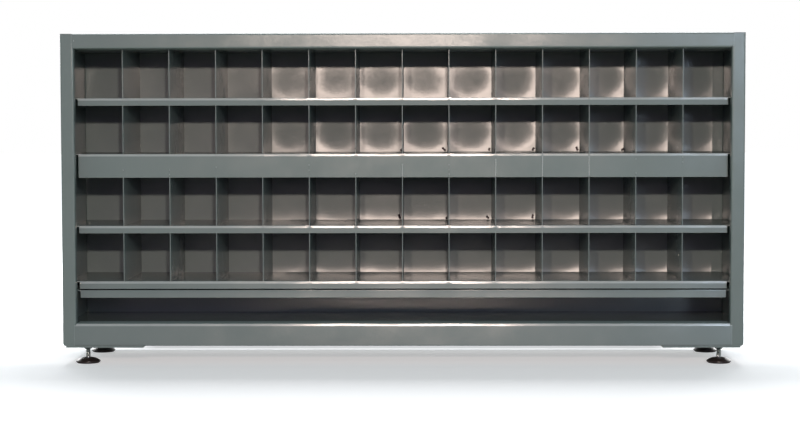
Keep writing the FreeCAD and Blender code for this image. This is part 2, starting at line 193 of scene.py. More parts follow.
def new_material(name):
    """Empty node material and its tree."""
    material = bpy.data.materials.new(name)
    material.use_nodes = True
    material.node_tree.nodes.clear()
    return material, material.node_tree


def add_node(tree, kind, links=None, output=0, **settings):
    """One output of a new node, whose inputs are set or linked by name or place."""
    node = tree.nodes.new(kind)
    for name, value in settings.items():
        setattr(node, name, value)
    for name, value in (links or {}).items():
        if isinstance(value, bpy.types.NodeSocket):
            tree.links.new(value, node.inputs[name])
        else:
            node.inputs[name].default_value = value
    return node.outputs[output] if node.outputs else node


def calc(tree, operation, *values, kind="ShaderNodeMath", output=0):
    """Math node on one to three values, or on vectors."""
    return add_node(tree, kind, dict(enumerate(values)), output, operation=operation)


def vector_calc(tree, operation, *values, output=0):
    return calc(tree, operation, *values, kind="ShaderNodeVectorMath", output=output)


def scaled(tree, vector, share):
    return add_node(tree, "ShaderNodeVectorMath", {0: vector, "Scale": share}, operation="SCALE")


def along(tree, vector, axis):
    """One coordinate of a vector."""
    return add_node(tree, "ShaderNodeSeparateXYZ", {"Vector": vector}, axis)


def ranged(tree, value, source, target=(0.0, 1.0)):
    """Value carried over from one range to another, and held at its ends."""
    links = {"Value": value, "From Min": source[0], "From Max": source[1]}
    return add_node(tree, "ShaderNodeMapRange", {**links, "To Min": target[0], "To Max": target[1]})


def noise(tree, place, span, detail, output=0):
    """Noise with patches of about this span."""
    links = {"Vector": place, "Scale": 1 / span, "Detail": detail}
    return add_node(tree, "ShaderNodeTexNoise", links, output)


def blend(tree, share, first, second):
    """Mix of two colours."""
    links = {"Factor": share, 6: first, 7: second}
    return add_node(tree, "ShaderNodeMix", links, 2, data_type="RGBA")


def ray_is(tree, *kinds):
    """1 for a ray of any of these kinds, as Light Path names them."""
    rays = [add_node(tree, "ShaderNodeLightPath", output=f"Is {kind} Ray") for kind in kinds]
    return rays[0] if len(rays) == 1 else calc(tree, "MAXIMUM", *rays)


def across_cell(tree, x):
    """Where in its cell a point is, from -1 at its left divider to 1 at its right one."""
    across = calc(tree, "FRACT", calc(tree, "DIVIDE", x, CELL_PITCH))
    return calc(tree, "MULTIPLY_ADD", across, 2.0, -1.0)


# ---------------------------------------------------------------- enamel

# slope to which the welds have dished the back panel behind the slot and behind each row of cells, and the
# share of that at a cell's sides
SLOT_DISH = (0.080, 0.4)
ROW_DISHES = {
    "shelf_4": (0.150, 0.42), "shelf_3": (0.120, 0.38), "shelf_2": (0.090, 0.84), "shelf_1": (0.072, 0.86),
}
ROW_START = 1 * MM  # below the shelf's top
DISH_HALF_HEIGHT = 60 * MM
DISH_RIM = 0.98  # share of the half height at which a dish is steepest
DISH_CURVE = 2.6  # power with which a dish steepens towards its rim
DOME_FROM = 0.4  # share at the sides from which a dish has a dome in its middle
DOME_RISE = 0.66
FLATTER_LEFT = (-0.44, -0.30)  # X between which the panel goes over from flatter to fully dished
FLATTER_SHARE = 0.16
CELL_CHANCE = (0.80, 1.12)  # how much of the pull a cell may have
SIDE_PLACES = (0.06, 0.65)  # from the middle of the sorter
SIDE_SLOPES = (0.035, 0.115)  # of a cell's sides at those places
FACES_FORWARD = -0.5  # Y of a normal

# a folded front: height of its top, how far its rolled top and its face lean back, how much of the roll is
# left at a divider, and how much pale enamel is laid on the roll as a painted highlight
Lip = namedtuple("Lip", "top roll lean breaks paleness")
# lean and breaks of each front whose roll shows
FRONTS = {
    "shelf_1": (-0.05, 0.4), "shelf_2": (0.0, 0.4), "shelf_3": (0.03, 0.4), "shelf_4": (0.08, 0.7),
    "bottom_rail": (0.105, 1.0),
}
# pale enamel laid on the roll, a painted highlight line
ROLL_PAINTED_HIGHLIGHT = 0.7
ROLL_GLOSS = 0.08  # how much less rough the roll is
ROLL_EDGE = (6.6 * MM, 5.8 * MM)  # below the top, where the face goes over to the roll
ROLL_BREAK = (0.86, 0.98)  # share of half a cell, where the roll goes over to the divider's weld
LIP_FACES_FORWARD = -0.35  # Y of a normal, its rounded edges included
LIP_ROUNDING = 0.05  # how much of the rounded edge's rise is kept
RAIL_SAG = 0.3  # how far the rail's top leans forward
SUPPORT_LEAN = 0.09
FLOOR_PANEL_GLOSS = 0.10  # how much less rough the floor of the slot is

EDGE_TURN = (0.995, 0.86)  # cosine of the turn at an edge, from no pale mix to the full pale mix
EDGE_WEAR_AND_HIGHLIGHT = 1.25  # full pale mix at an edge, partly wear and partly a painted edge highlight, of which the scuffs leave about half
WELD_PAINTED_GLINT = 0.75  # least pale mix on a weld, a painted glint
SCUFF_SPAN = 14 * MM
SHADE_SPAN = 160 * MM
SHADES = (0.93, 1.07)
# span and tilt of the sheet's slow waves, and then of the orange peel, whose real grain of 1.5 mm is drawn
# coarser so that it shows
ENAMEL_WAVES = ((130 * MM, 0.07), (32 * MM, 0.03), (4 * MM, 0.045))


def row_values(tree, z):
    """Floor of the row of cells at a height, slope of its dishes, and share of that at a cell's sides."""
    steps = add_node(tree, "ShaderNodeValToRGB", {"Fac": z}).node
    steps.color_ramp.interpolation = "CONSTANT"
    rows = [(0.0, *SLOT_DISH)] + [(top_of(shelf), *dish) for shelf, dish in ROW_DISHES.items()]
    while len(steps.color_ramp.elements) < len(rows):
        steps.color_ramp.elements.new(0.5)
    for element, row in zip(steps.color_ramp.elements, rows):
        element.position = max(row[0] - ROW_START, 0.0)
        element.color = (*row, 1.0)
    return [
        add_node(tree, "ShaderNodeSeparateColor", {"Color": steps.outputs["Color"]}, output)
        for output in ("Red", "Green", "Blue")
    ]


def cell_dish(tree, place, geometry):
    """Tilt of the back panel's face, which the welds at each cell's edges have pulled into a dish."""
    x, z = along(tree, place, "X"), along(tree, place, "Z")
    floor, slope, share = row_values(tree, z)
    above = calc(tree, "GREATER_THAN", z, top_of("support_shelf"))
    across = calc(tree, "MULTIPLY", across_cell(tree, x), above)
    up = calc(tree, "SUBTRACT", z, floor)
    up = calc(tree, "MULTIPLY_ADD", up, 1 / DISH_HALF_HEIGHT, -1.0)
    spot = add_node(tree, "ShaderNodeCombineXYZ", {"X": calc(tree, "MULTIPLY", across, share), "Z": up})
    reach = vector_calc(tree, "LENGTH", spot, output="Value")
    reach = calc(tree, "MINIMUM", calc(tree, "DIVIDE", reach, DISH_RIM), 1.0)
    reach = calc(tree, "POWER", reach, DISH_CURVE)
    # where a cell is pulled in all round, its middle is pushed out and leans down a little
    push = calc(tree, "MULTIPLY_ADD", share, DOME_RISE, -DOME_RISE * DOME_FROM)
    reach = calc(tree, "MULTIPLY_ADD", push, calc(tree, "SUBTRACT", reach, 1.0), reach)
    # the panels at the left lie flatter, and no two cells are pulled alike
    reach = calc(tree, "MULTIPLY", reach, ranged(tree, x, FLATTER_LEFT, (FLATTER_SHARE, 1.0)))
    cell = calc(tree, "FLOOR", calc(tree, "DIVIDE", x, CELL_PITCH))
    cell = add_node(tree, "ShaderNodeCombineXYZ", {"X": cell, "Y": floor})
    chance = add_node(tree, "ShaderNodeTexWhiteNoise", {"Vector": cell}, "Value", noise_dimensions="3D")
    reach = calc(tree, "MULTIPLY", reach, ranged(tree, chance, (0.0, 1.0), CELL_CHANCE))
    # the cells further from the middle are drawn in more at their sides
    steep = ranged(tree, calc(tree, "ABSOLUTE", x), SIDE_PLACES, SIDE_SLOPES)
    steep = calc(tree, "MULTIPLY", steep, across)
    # a cell's back leans up all round its dome, and the slot's back leans down
    lean = calc(tree, "MULTIPLY", calc(tree, "MULTIPLY_ADD", above, -2.0, 1.0), slope)
    dish = scaled(tree, add_node(tree, "ShaderNodeCombineXYZ", {"X": steep, "Z": lean}), reach)
    # only the face in the cells is drawn dished
    return scaled(tree, dish, calc(tree, "LESS_THAN", along(tree, geometry, "Y"), FACES_FORWARD))


def rolled_lip(tree, place, normal, lip):
    """Normal of a folded front, and where its rolled top is. The roll leans towards the lamps, so the light
    catches it in a line, which breaks at the dividers; baked_enamel also lays pale enamel there as a painted
    highlight."""
    side, depth, rise = (along(tree, normal, axis) for axis in "XYZ")
    forward = calc(tree, "LESS_THAN", depth, LIP_FACES_FORWARD)
    # 0 in the middle of a cell, 1 at a divider
    nearness = calc(tree, "ABSOLUTE", across_cell(tree, along(tree, place, "X")))
    roll = ranged(tree, nearness, ROLL_BREAK, (lip.roll, lip.roll * lip.breaks))
    share = ranged(tree, along(tree, place, "Z"), [lip.top - below for below in ROLL_EDGE])
    lean = add_node(tree, "ShaderNodeMix", {"Factor": share, "A": lip.lean, "B": roll}, data_type="FLOAT")
    lean = calc(tree, "MULTIPLY_ADD", rise, LIP_ROUNDING, lean)
    front = add_node(tree, "ShaderNodeCombineXYZ", {"X": side, "Y": -1.0, "Z": lean})
    front = add_node(tree, "ShaderNodeMix", {"Factor": forward, 4: normal, 5: front}, 1, data_type="VECTOR")
    return front, calc(tree, "MULTIPLY", forward, share)


def baked_enamel(
    finish, name="baked_enamel", lip=None, dished=False, paler=0.0, gloss=0.0, sag=0.0, base=None
):
    """Grey enamel, sprayed on the welded steel sheet and stoved. It is semi-gloss over a fine orange peel,
    with slow waves where the sheet pulled at its welds, and is laid pale over the edges, partly as wear and
    partly as a painted edge highlight."""
    material, tree = new_material(name)
    place = add_node(tree, "ShaderNodeTexCoord", output="Object")
    geometry = add_node(tree, "ShaderNodeNewGeometry", output="Normal")
    normal = add_node(tree, "ShaderNodeBevel", {"Radius": finish.edge_width}, samples=4)

    # an edge is where the rounded normal leaves the flat one; the enamel is laid pale there, partly wear and
    # partly a painted edge highlight
    wear_and_highlight = vector_calc(tree, "DOT_PRODUCT", normal, geometry, output="Value")
    wear_and_highlight = ranged(tree, wear_and_highlight, EDGE_TURN, (0.0, EDGE_WEAR_AND_HIGHLIGHT))
    wear_and_highlight = calc(tree, "MULTIPLY", wear_and_highlight, noise(tree, place, SCUFF_SPAN, 2.0))
    # a weld is laid pale all over, a painted glint
    if paler:
        wear_and_highlight = calc(tree, "MAXIMUM", wear_and_highlight, paler)
    dark, pale = (shaded(base or finish.enamel, shade) for shade in SHADES)
    tone = blend(tree, noise(tree, place, SHADE_SPAN, 4.0), dark, pale)
    tone = blend(tree, wear_and_highlight, tone, colour(finish.wear_and_highlight_enamel))

    rough = finish.enamel_roughness - gloss
    if sag:
        normal = vector_calc(tree, "ADD", normal, (0.0, -sag, 0.0))
    if lip:
        normal, rolled_top = rolled_lip(tree, place, normal, lip)
        # the rolled top is laid with pale enamel, a painted highlight, and is made glossier
        painted_roll_highlight = calc(tree, "MULTIPLY", rolled_top, lip.paleness)
        tone = blend(tree, painted_roll_highlight, tone, colour(finish.wear_and_highlight_enamel))
        rough = ranged(tree, rolled_top, (0.0, 1.0), (rough, rough - ROLL_GLOSS))
    for span, amount in ENAMEL_WAVES:
        wave = noise(tree, place, span, 1.0, "Color")
        tilt = scaled(tree, vector_calc(tree, "SUBTRACT", wave, (0.5, 0.5, 0.5)), amount)
        normal = vector_calc(tree, "ADD", normal, tilt)
    if dished:
        normal = vector_calc(tree, "SUBTRACT", normal, cell_dish(tree, place, geometry))
    normal = vector_calc(tree, "NORMALIZE", normal)
    links = {"Base Color": tone, "Roughness": rough, "IOR": 1.5, "Normal": normal}
    shader = add_node(tree, "ShaderNodeBsdfPrincipled", links)
    add_node(tree, "ShaderNodeOutputMaterial", {"Surface": shader})
    return material


# ---------------------------------------------------------------- other finishes

ZINC_CLOUD_SPAN = 6 * MM
ZINC_CLOUD_SHADE = 0.78
ZINC_ROUGHNESS = (0.34, 0.22)
NYLON_GRAIN_SPAN = 1.2 * MM  # the tool's real grain of 0.2 mm, drawn coarser so that it shows
NYLON_GRAIN_DEPTH = 0.2 * MM
NYLON_SCUFF_SPAN = 18 * MM
NYLON_SHADES = (0.8, 1.5)
NYLON_ROUGHNESS = (0.3, 0.42)
RUBBER_BLOOM_SPAN = 5 * MM
RUBBER_BLOOM = {"share": 2.2, "lift": 0.004}
MIDDLE_OF_NOISE = (0.3, 0.7)  # where most of a noise's values lie


def zinc_plate(finish, name="bright_zinc_plate"):
    """Bright zinc, barrel-plated on turned steel: a clean bluish metal with faint cloudy patches."""
    material, tree = new_material(name)
    place = add_node(tree, "ShaderNodeTexCoord", output="Object")
    cloud = noise(tree, place, ZINC_CLOUD_SPAN, 3.0)
    tone = blend(tree, cloud, shaded(finish.zinc, ZINC_CLOUD_SHADE), colour(finish.zinc))
    rough = ranged(tree, cloud, MIDDLE_OF_NOISE, ZINC_ROUGHNESS)
    links = {"Base Color": tone, "Roughness": rough, "Metallic": 1.0}
    shader = add_node(tree, "ShaderNodeBsdfPrincipled", links)
    add_node(tree, "ShaderNodeOutputMaterial", {"Surface": shader})
    return material


def moulded_plastic(finish):
    """Nylon, injection-moulded in a spark-eroded tool: brownish black with a fine satin grain."""
    material, tree = new_material("moulded_black_nylon")
    place = add_node(tree, "ShaderNodeTexCoord", output="Object")
    grain = noise(tree, place, NYLON_GRAIN_SPAN, 2.0)
    scuff = noise(tree, place, NYLON_SCUFF_SPAN, 3.0)
    dark, pale = (shaded(finish.pad, shade) for shade in NYLON_SHADES)
    tone = blend(tree, scuff, dark, pale)
    rough = ranged(tree, scuff, MIDDLE_OF_NOISE, NYLON_ROUGHNESS)
    bump = {"Height": grain, "Strength": 0.25, "Distance": NYLON_GRAIN_DEPTH}
    normal = add_node(tree, "ShaderNodeBump", bump)
    links = {"Base Color": tone, "Roughness": rough, "IOR": 1.53, "Normal": normal}
    shader = add_node(tree, "ShaderNodeBsdfPrincipled", links)
    add_node(tree, "ShaderNodeOutputMaterial", {"Surface": shader})
    return material


def moulded_rubber(finish):
    """Rubber, compression-moulded: dull black with a dusty bloom."""
    material, tree = new_material("moulded_rubber")
    place = add_node(tree, "ShaderNodeTexCoord", output="Object")
    bloom = noise(tree, place, RUBBER_BLOOM_SPAN, 4.0)
    tone = blend(tree, bloom, colour(finish.rubber), shaded(finish.rubber, **RUBBER_BLOOM))
    links = {"Base Color": tone, "Roughness": 0.85, "IOR": 1.52}
    shader = add_node(tree, "ShaderNodeBsdfPrincipled", links)
    add_node(tree, "ShaderNodeOutputMaterial", {"Surface": shader})
    return material


def lamp_slope(context, height):
    """Slope at which an upright face at this height shows the lamps to someone in front."""
    stage = context.scene.sorter_stage
    eye = math.atan2(stage.camera_place[2] - height, -stage.camera_place[1])
    lamp = math.atan2(stage.lamp_height - height, -stage.lamp_y)
    return math.tan((eye + lamp) / 2)


def dress(nodes, material):
    """Puts one material on CAD nodes."""
    for name in nodes:
        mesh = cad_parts[name].data
        mesh.materials.clear()
        mesh.materials.append(material)


class SORTER_OT_enamel(bpy.types.Operator):
    """Enamel on the shell, the dividers and the shelves"""

    bl_idname = "sorter.enamel"
    bl_label = "Enamel the sheet metal"

    def execute(self, context):
        finish = context.scene.sorter_finish
        fixings = ("leveller", "insert_bolts", "insert_nuts")
        dress([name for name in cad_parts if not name.startswith(fixings)], baked_enamel(finish))
        dress(["back_panel"], baked_enamel(finish, "baked_enamel_on_dished_panel", dished=True))
        for name, (lean, breaks) in FRONTS.items():
            lip = Lip(top_of(name), lamp_slope(context, top_of(name)), lean, breaks, ROLL_PAINTED_HIGHLIGHT)
            sag = RAIL_SAG if name == "bottom_rail" else 0.0
            dress([name], baked_enamel(finish, f"baked_enamel_on_{name}", lip=lip, sag=sag))
        # the support shelf's front has no line: its roll leans as its face does, and it has no painted
        # highlight
        lip = Lip(top_of("support_shelf"), SUPPORT_LEAN, SUPPORT_LEAN, 1.0, 0.0)
        dress(["support_shelf"], baked_enamel(finish, "baked_enamel_on_support_shelf", lip=lip))
        dress(["floor_panel"], baked_enamel(finish, "baked_enamel_on_floor_panel", gloss=FLOOR_PANEL_GLOSS))
        return {"FINISHED"}


class SORTER_OT_fixings(bpy.types.Operator):
    """Zinc plate on the bolts and nuts of the insert"""

    bl_idname = "sorter.fixings"
    bl_label = "Plate the fixings"

    def execute(self, context):
        dress(["insert_bolts", "insert_nuts"], zinc_plate(context.scene.sorter_finish))
        return {"FINISHED"}


# ---------------------------------------------------------------- modelling tools


def select_none():
    if bpy.context.object and bpy.context.object.mode != "OBJECT":
        bpy.ops.object.mode_set(mode="OBJECT")
    bpy.ops.object.select_all(action="DESELECT")


def select_where(test):
    """Selects the vertices of the mesh in edit mode whose place passes the test."""
    bpy.ops.mesh.select_mode(type="VERT")
    bpy.ops.mesh.select_all(action="DESELECT")
    mesh = bmesh.from_edit_mesh(bpy.context.object.data)
    for vertex in mesh.verts:
        vertex.select_set(bool(test(vertex.co)))
    mesh.select_flush(True)
    bmesh.update_edit_mesh(bpy.context.object.data)


def select_faces(test):
    """Selects the faces of the mesh in edit mode whose middle passes the test."""
    bpy.ops.mesh.select_mode(type="FACE")
    bpy.ops.mesh.select_all(action="DESELECT")
    mesh = bmesh.from_edit_mesh(bpy.context.object.data)
    for face in mesh.faces:
        if test(face.calc_center_median()):
            face.select_set(True)
    bmesh.update_edit_mesh(bpy.context.object.data)


def turned_piece(name, profile, sides, place=(0.0, 0.0)):
    """Solid of revolution on an upright axis: a disc is pushed up and out through the profile's
    (radius, height) points. Left in edit mode with its last ring selected."""
    select_none()
    radius, height = profile[0]
    bpy.ops.mesh.primitive_circle_add(
        vertices=sides, radius=radius, fill_type="NGON", location=(place[0], place[1], height)
    )
    piece = bpy.context.object
    piece.name = name
    bpy.ops.object.transform_apply(location=True, rotation=True, scale=True)
    bpy.ops.object.mode_set(mode="EDIT")
    bpy.ops.mesh.select_mode(type="FACE")
    bpy.ops.mesh.select_all(action="SELECT")
    for next_radius, next_height in profile[1:]:
        rise = next_height - height
        bpy.ops.mesh.extrude_region_move(TRANSFORM_OT_translate={"value": (0.0, 0.0, rise)})
        share = next_radius / radius
        bpy.ops.transform.resize(value=(share, share, 1.0), center_override=(*place[:2], next_height))
        radius, height = next_radius, next_height
    return piece


def finish_piece(piece, body, material, smooth=math.radians(35.0)):
    """Closes the edit, points the faces outwards, shades the piece, and seats it on its body."""
    if bpy.context.object.mode != "EDIT":
        bpy.ops.object.mode_set(mode="EDIT")
    bpy.ops.mesh.select_all(action="SELECT")
    bpy.ops.mesh.remove_doubles(threshold=1e-6)
    bpy.ops.mesh.normals_make_consistent(inside=False)
    bpy.ops.object.mode_set(mode="OBJECT")
    select_none()
    piece.select_set(True)
    bpy.context.view_layer.objects.active = piece
    bpy.ops.object.shade_smooth_by_angle(angle=smooth)
    piece.data.materials.clear()
    piece.data.materials.append(material)
    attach(piece, body)


def copy_piece(piece, name, matrix, body):
    """Copy with its own mesh, whose place is in the mesh."""
    copy = piece.copy()
    copy.data = piece.data.copy()
    copy.name = name
    copy.parent = None
    copy.matrix_world = Matrix.Identity(4)
    copy.data.transform(matrix)
    bpy.context.scene.collection.objects.link(copy)
    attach(copy, body)
    return copy


# ---------------------------------------------------------------- feet

STUD_SIDES = 48
THREAD_STEPS = 24  # to a turn
SPARE_TURNS = 3  # below and above the stretch that is kept
THREAD_START = 0.4 * MM  # above the shank's top, within its taper
THREAD_MERGE = 0.02 * MM  # points of neighbouring turns that lie nearer are one
TAPER_HEIGHT = 0.9 * MM
TAPER_MARGIN = 0.1 * MM  # between the taper's end and the thread's core
HAIR = 0.01 * MM  # margin with which points are chosen by their height
END_TAPER = 0.78  # width of the stud's end, as a share of the thread's
EDGE_BREAK = 0.5 * MM
PAD_SIDES = 64
# pad's domed top, as (inwards from the rim, height), and then its hub, as (radius, down from the top), in mm
PAD_DOME = (
    (0.5, 2.5), (0.0, 3.0), (0.0, 5.6), (0.25, 6.3), (1.0, 6.75), (3.0, 8.1), (6.0, 9.9), (10.0, 11.9),
    (15.0, 13.7), (19.0, 14.6),
)
PAD_HUB = ((11.6, 0.4), (11.0, 0.0), (8.6, 0.0), (8.2, 0.3), (8.1, 1.2))
PAD_RECESS = 1.3 * MM  # down from the top to the mouth round the stud
SOCKET_CLEARANCE = 0.05 * MM
MOUTH_CLEARANCE = 0.4 * MM
# round grooves in the sole, by their inner radius in mm
GROOVES = (8.0, 14.0, 20.0)
GROOVE_DEPTH = 0.8 * MM
GROOVE_SLANT = 0.4 * MM
GROOVE_WIDTH = 2.6 * MM
SOLE_LOWER_BREAK = 0.6 * MM
SOLE_UPPER_BREAK = 0.2 * MM


def stud_sizes(foot):
    """Middle of the first stud, its radius, its collar's radius, and the collar's lower and upper height."""
    low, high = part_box("leveller_stud_front_left")
    collar = (high[0] - low[0]) / 2
    return (low + high) / 2, collar - foot.collar_step, collar, low[2], low[2] + foot.collar_height


class SORTER_OT_studs(bpy.types.Operator):
    """Threaded studs of the levelling feet"""

    bl_idname = "sorter.studs"
    bl_label = "Cut the studs"

    def shank(self, foot):
        """Collar and plain shank, with two wrench flats."""
        axis, radius, collar, collar_low, collar_top = stud_sizes(foot)
        flat_low = top_of("leveller_pad_front_left") + foot.flat_rise
        flat_top = flat_low + foot.flat_height
        shank = turned_piece(
            "stud_shank",
            [
                (collar - 1.2 * EDGE_BREAK, collar_low),
                (collar, collar_low + EDGE_BREAK),
                (collar, collar_top - EDGE_BREAK),
                (collar - EDGE_BREAK, collar_top),
                (radius, collar_top),
                (radius, flat_low - EDGE_BREAK),
                (radius, flat_low),
                (radius, flat_top),
                (radius, flat_top + EDGE_BREAK),
                (radius, foot.shank_top),
                (radius - foot.thread_depth + TAPER_MARGIN, foot.shank_top + TAPER_HEIGHT),
            ],
            STUD_SIDES,
            axis[:2],
        )
        for side in (-1, 1):
            edge = axis[1] + side * (radius - foot.flat_depth)
            select_where(
                lambda at: flat_low - HAIR < at.z < flat_top + HAIR and (at.y - edge) * side > 0
            )
            bpy.ops.transform.resize(value=(1.0, 0.0, 1.0), center_override=(axis[0], edge, flat_low))
        bpy.ops.object.mode_set(mode="OBJECT")
        return shank

    def thread(self, foot):
        """One V, a pitch tall, wound up the stud by a Screw modifier, cut to length and chamfered."""
        axis, radius = stud_sizes(foot)[:2]
        core = radius - foot.thread_depth
        top = top_of("leveller_stud_front_left")
        select_none()
        bpy.ops.mesh.primitive_plane_add(size=foot.thread_pitch, rotation=(math.pi / 2, 0.0, 0.0))
        thread = bpy.context.object
        thread.name = "stud_thread"
        bpy.ops.object.transform_apply(location=True, rotation=True, scale=True)
        bpy.ops.object.mode_set(mode="EDIT")
        bpy.ops.mesh.delete(type="ONLY_FACE")
        select_where(lambda at: at.x > 0)
        bpy.ops.mesh.merge(type="CENTER")
        select_where(lambda at: at.x < 0)
        bpy.ops.mesh.delete(type="EDGE")
        bpy.ops.mesh.select_all(action="SELECT")
        bpy.ops.transform.resize(
            value=(foot.thread_depth / foot.thread_pitch, 1.0, 1.0), center_override=(0.0, 0.0, 0.0)
        )
        bpy.ops.transform.translate(value=((core + radius) / 2, 0.0, foot.shank_top - foot.thread_pitch))
        bpy.ops.object.mode_set(mode="OBJECT")
        wind = thread.modifiers.new("wind", "SCREW")
        wind.axis = "Z"
        wind.screw_offset = foot.thread_pitch
        wind.iterations = math.ceil((top - foot.shank_top) / foot.thread_pitch) + SPARE_TURNS
        wind.steps = wind.render_steps = THREAD_STEPS
        wind.use_merge_vertices = False
        bpy.ops.object.modifier_apply(modifier=wind.name)
        bpy.ops.object.mode_set(mode="EDIT")
        bpy.ops.mesh.select_all(action="SELECT")
        bpy.ops.mesh.remove_doubles(threshold=THREAD_MERGE)
        chamfer = top - foot.end_chamfer
        for height, above in ((foot.shank_top + THREAD_START, False), (chamfer, True)):
            bpy.ops.mesh.select_all(action="SELECT")
            bpy.ops.mesh.bisect(
                plane_co=(0.0, 0.0, height), plane_no=(0.0, 0.0, 1.0), use_fill=True,
                clear_outer=above, clear_inner=not above,
            )
        select_faces(lambda at: at.z > chamfer - HAIR)
        bpy.ops.mesh.extrude_region_move(TRANSFORM_OT_translate={"value": (0.0, 0.0, foot.end_chamfer)})
        bpy.ops.transform.resize(value=(END_TAPER, END_TAPER, 1.0), center_override=(0.0, 0.0, top))
        bpy.ops.object.mode_set(mode="OBJECT")
        thread.data.transform(Matrix.Translation((axis[0], axis[1], 0.0)))
        return thread

    def execute(self, context):
        foot = context.scene.sorter_foot
        stud = self.shank(foot)
        thread = self.thread(foot)
        select_none()
        thread.select_set(True)
        stud.select_set(True)
        context.view_layer.objects.active = stud
        bpy.ops.object.join()
        stud.name = "threaded_stud_front_left"
        material = zinc_plate(context.scene.sorter_finish, "bright_zinc_plate_on_studs")
        finish_piece(stud, "stud_front_left", material)
        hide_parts("leveller_stud_front_left")
        for corner in CORNERS[1:]:
            shift = middle_of(f"leveller_stud_{corner}") - middle_of("leveller_stud_front_left")
            copy = copy_piece(
                stud, f"threaded_stud_{corner}", Matrix.Translation(shift), f"stud_{corner}"
            )
            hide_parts(f"leveller_stud_{corner}")
        return {"FINISHED"}


class SORTER_OT_pads(bpy.types.Operator):
    """Moulded pads and rubber soles of the levelling feet"""

    bl_idname = "sorter.pads"
    bl_label = "Mould the pads and soles"

    def pad(self, foot):
        """Domed pad with a hub, hollow for the stud's collar."""
        _, radius, collar, collar_low, collar_top = stud_sizes(foot)
        low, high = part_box("leveller_pad_front_left")
        rim = (high[0] - low[0]) / 2
        mouth = radius + MOUTH_CLEARANCE
        socket = collar + SOCKET_CLEARANCE
        profile = [(rim - inwards * MM, height * MM) for inwards, height in PAD_DOME]
        profile += [(hub * MM, high[2] - down * MM) for hub, down in PAD_HUB]
        profile += [
            (mouth, high[2] - PAD_RECESS),
            (mouth, collar_top + SOCKET_CLEARANCE),
            (socket, collar_top + SOCKET_CLEARANCE),
            (socket, collar_low - SOCKET_CLEARANCE),
        ]
        return turned_piece("moulded_pad_front_left", profile, PAD_SIDES, ((low + high) / 2)[:2])

    def sole(self):
        """Flat disc with round grooves on its underside, drawn from the middle outwards."""
        low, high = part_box("leveller_sole_front_left")
        edge = (high[0] - low[0]) / 2
        profile = []
        for groove in GROOVES:
            inner, outer = groove * MM, groove * MM + GROOVE_WIDTH
            profile += [
                (inner, 0.0), (inner + GROOVE_SLANT, GROOVE_DEPTH), (outer - GROOVE_SLANT, GROOVE_DEPTH),
                (outer, 0.0),
            ]
        profile += [
            (edge - SOLE_LOWER_BREAK, 0.0), (edge, SOLE_LOWER_BREAK), (edge, high[2] - SOLE_UPPER_BREAK),
            (edge - SOLE_UPPER_BREAK, high[2]),
        ]
        place = middle_of("leveller_pad_front_left")[:2]
        return turned_piece("rubber_sole_front_left", profile, PAD_SIDES, place)

    def execute(self, context):
        finish = context.scene.sorter_finish
        pad = self.pad(context.scene.sorter_foot)
        finish_piece(pad, "pad_front_left", moulded_plastic(finish))
        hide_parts("leveller_pad_front_left")
        sole = self.sole()
        finish_piece(sole, "pad_front_left", moulded_rubber(finish))
        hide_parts("leveller_sole_front_left")
        for corner in CORNERS[1:]:
            shift = middle_of(f"leveller_pad_{corner}") - middle_of("leveller_pad_front_left")
            for piece, name, node, slot in (
                (pad, "moulded_pad", "leveller_pad", "pad_black"),
                (sole, "rubber_sole", "leveller_sole", "sole_rubber"),
            ):
                place = Matrix.Translation(shift)
                copy = copy_piece(piece, f"{name}_{corner}", place, f"pad_{corner}")
                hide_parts(f"{node}_{corner}")
        return {"FINISHED"}


# ---------------------------------------------------------------- welds

BEAD_SIDES = 10
BEAD_SMOOTH = math.radians(60.0)
BEAD_START, BEAD_END = 0.35, 0.3  # widths of a bead's ends, as shares of its width
BEAD_CAP = 0.6 * MM  # length of the last end
RIPPLE_SHAPE = ((0.18, 0.86), (0.5, 1.0), (0.8, 0.92), (1.0, 0.66))  # shares of its length and width
LONG_RIPPLES = 7
KNOT_RIPPLES = 2
# the dividers' edges are welded through the deep band, by divider: a bead of this share of the band's
# height, or tacks at these shares of it
BAND_BEADS = {7: 0.62, 9: 0.85, 10: 1.0, 11: 1.0}
BAND_TACKS = {
    1: (0.32,), 2: (0.32, 0.10), 3: (0.45,), 5: (0.55, 0.30), 6: (0.12,), 8: (0.55, 0.32, 0.10),
    12: (0.82, 0.14), 13: (0.90, 0.66),
}
BAND_TACK_SIZE = 0.55
BAND_EDGE = 7 * MM  # height of the band that is left free
BEAD_RISE = 1.5 * MM  # above the band's lower edge
# shelf, divider and size of the tacks on the lips
LIP_TACKS = (("shelf_1", 1, 0.6), ("shelf_1", 11, 0.6), ("shelf_2", 11, 0.8), ("shelf_2", 10, 0.7))
LIP_TACK_DROP = 5.5 * MM  # below the lip's top
END_TACK_DROP = 6 * MM
# how deep the tacks on the lips, at the lip's ends and at the frame's corners sit in the sheet
LIP_TACK_DEPTH, END_TACK_DEPTH, CORNER_TACK_DEPTH = 0.6 * MM, 0.4 * MM, 0.8 * MM
# shelf under the knots, and its first and last divider that has one
KNOT_ROWS = (("shelf_2", 5, 12), ("shelf_3", 4, 10))
# what the knots take in turn: how far left of the divider they sit, how they lie, and their length
KNOT_ASIDES = (5.5 * MM, 7.5 * MM, 9.5 * MM)
KNOT_TURNS = (0.5, -0.4, 0.9, -0.8, 0.2)
KNOT_LENGTHS = (0.5, 0.6, 0.7, 0.8)
KNOT_WIDTH, KNOT_HEIGHT = 1.5, 1.6
KNOT_DEPTH = 0.9 * MM  # forward of the panel's face, so that no knot comes through the sheet
KNOT_RISE = 2.5 * MM


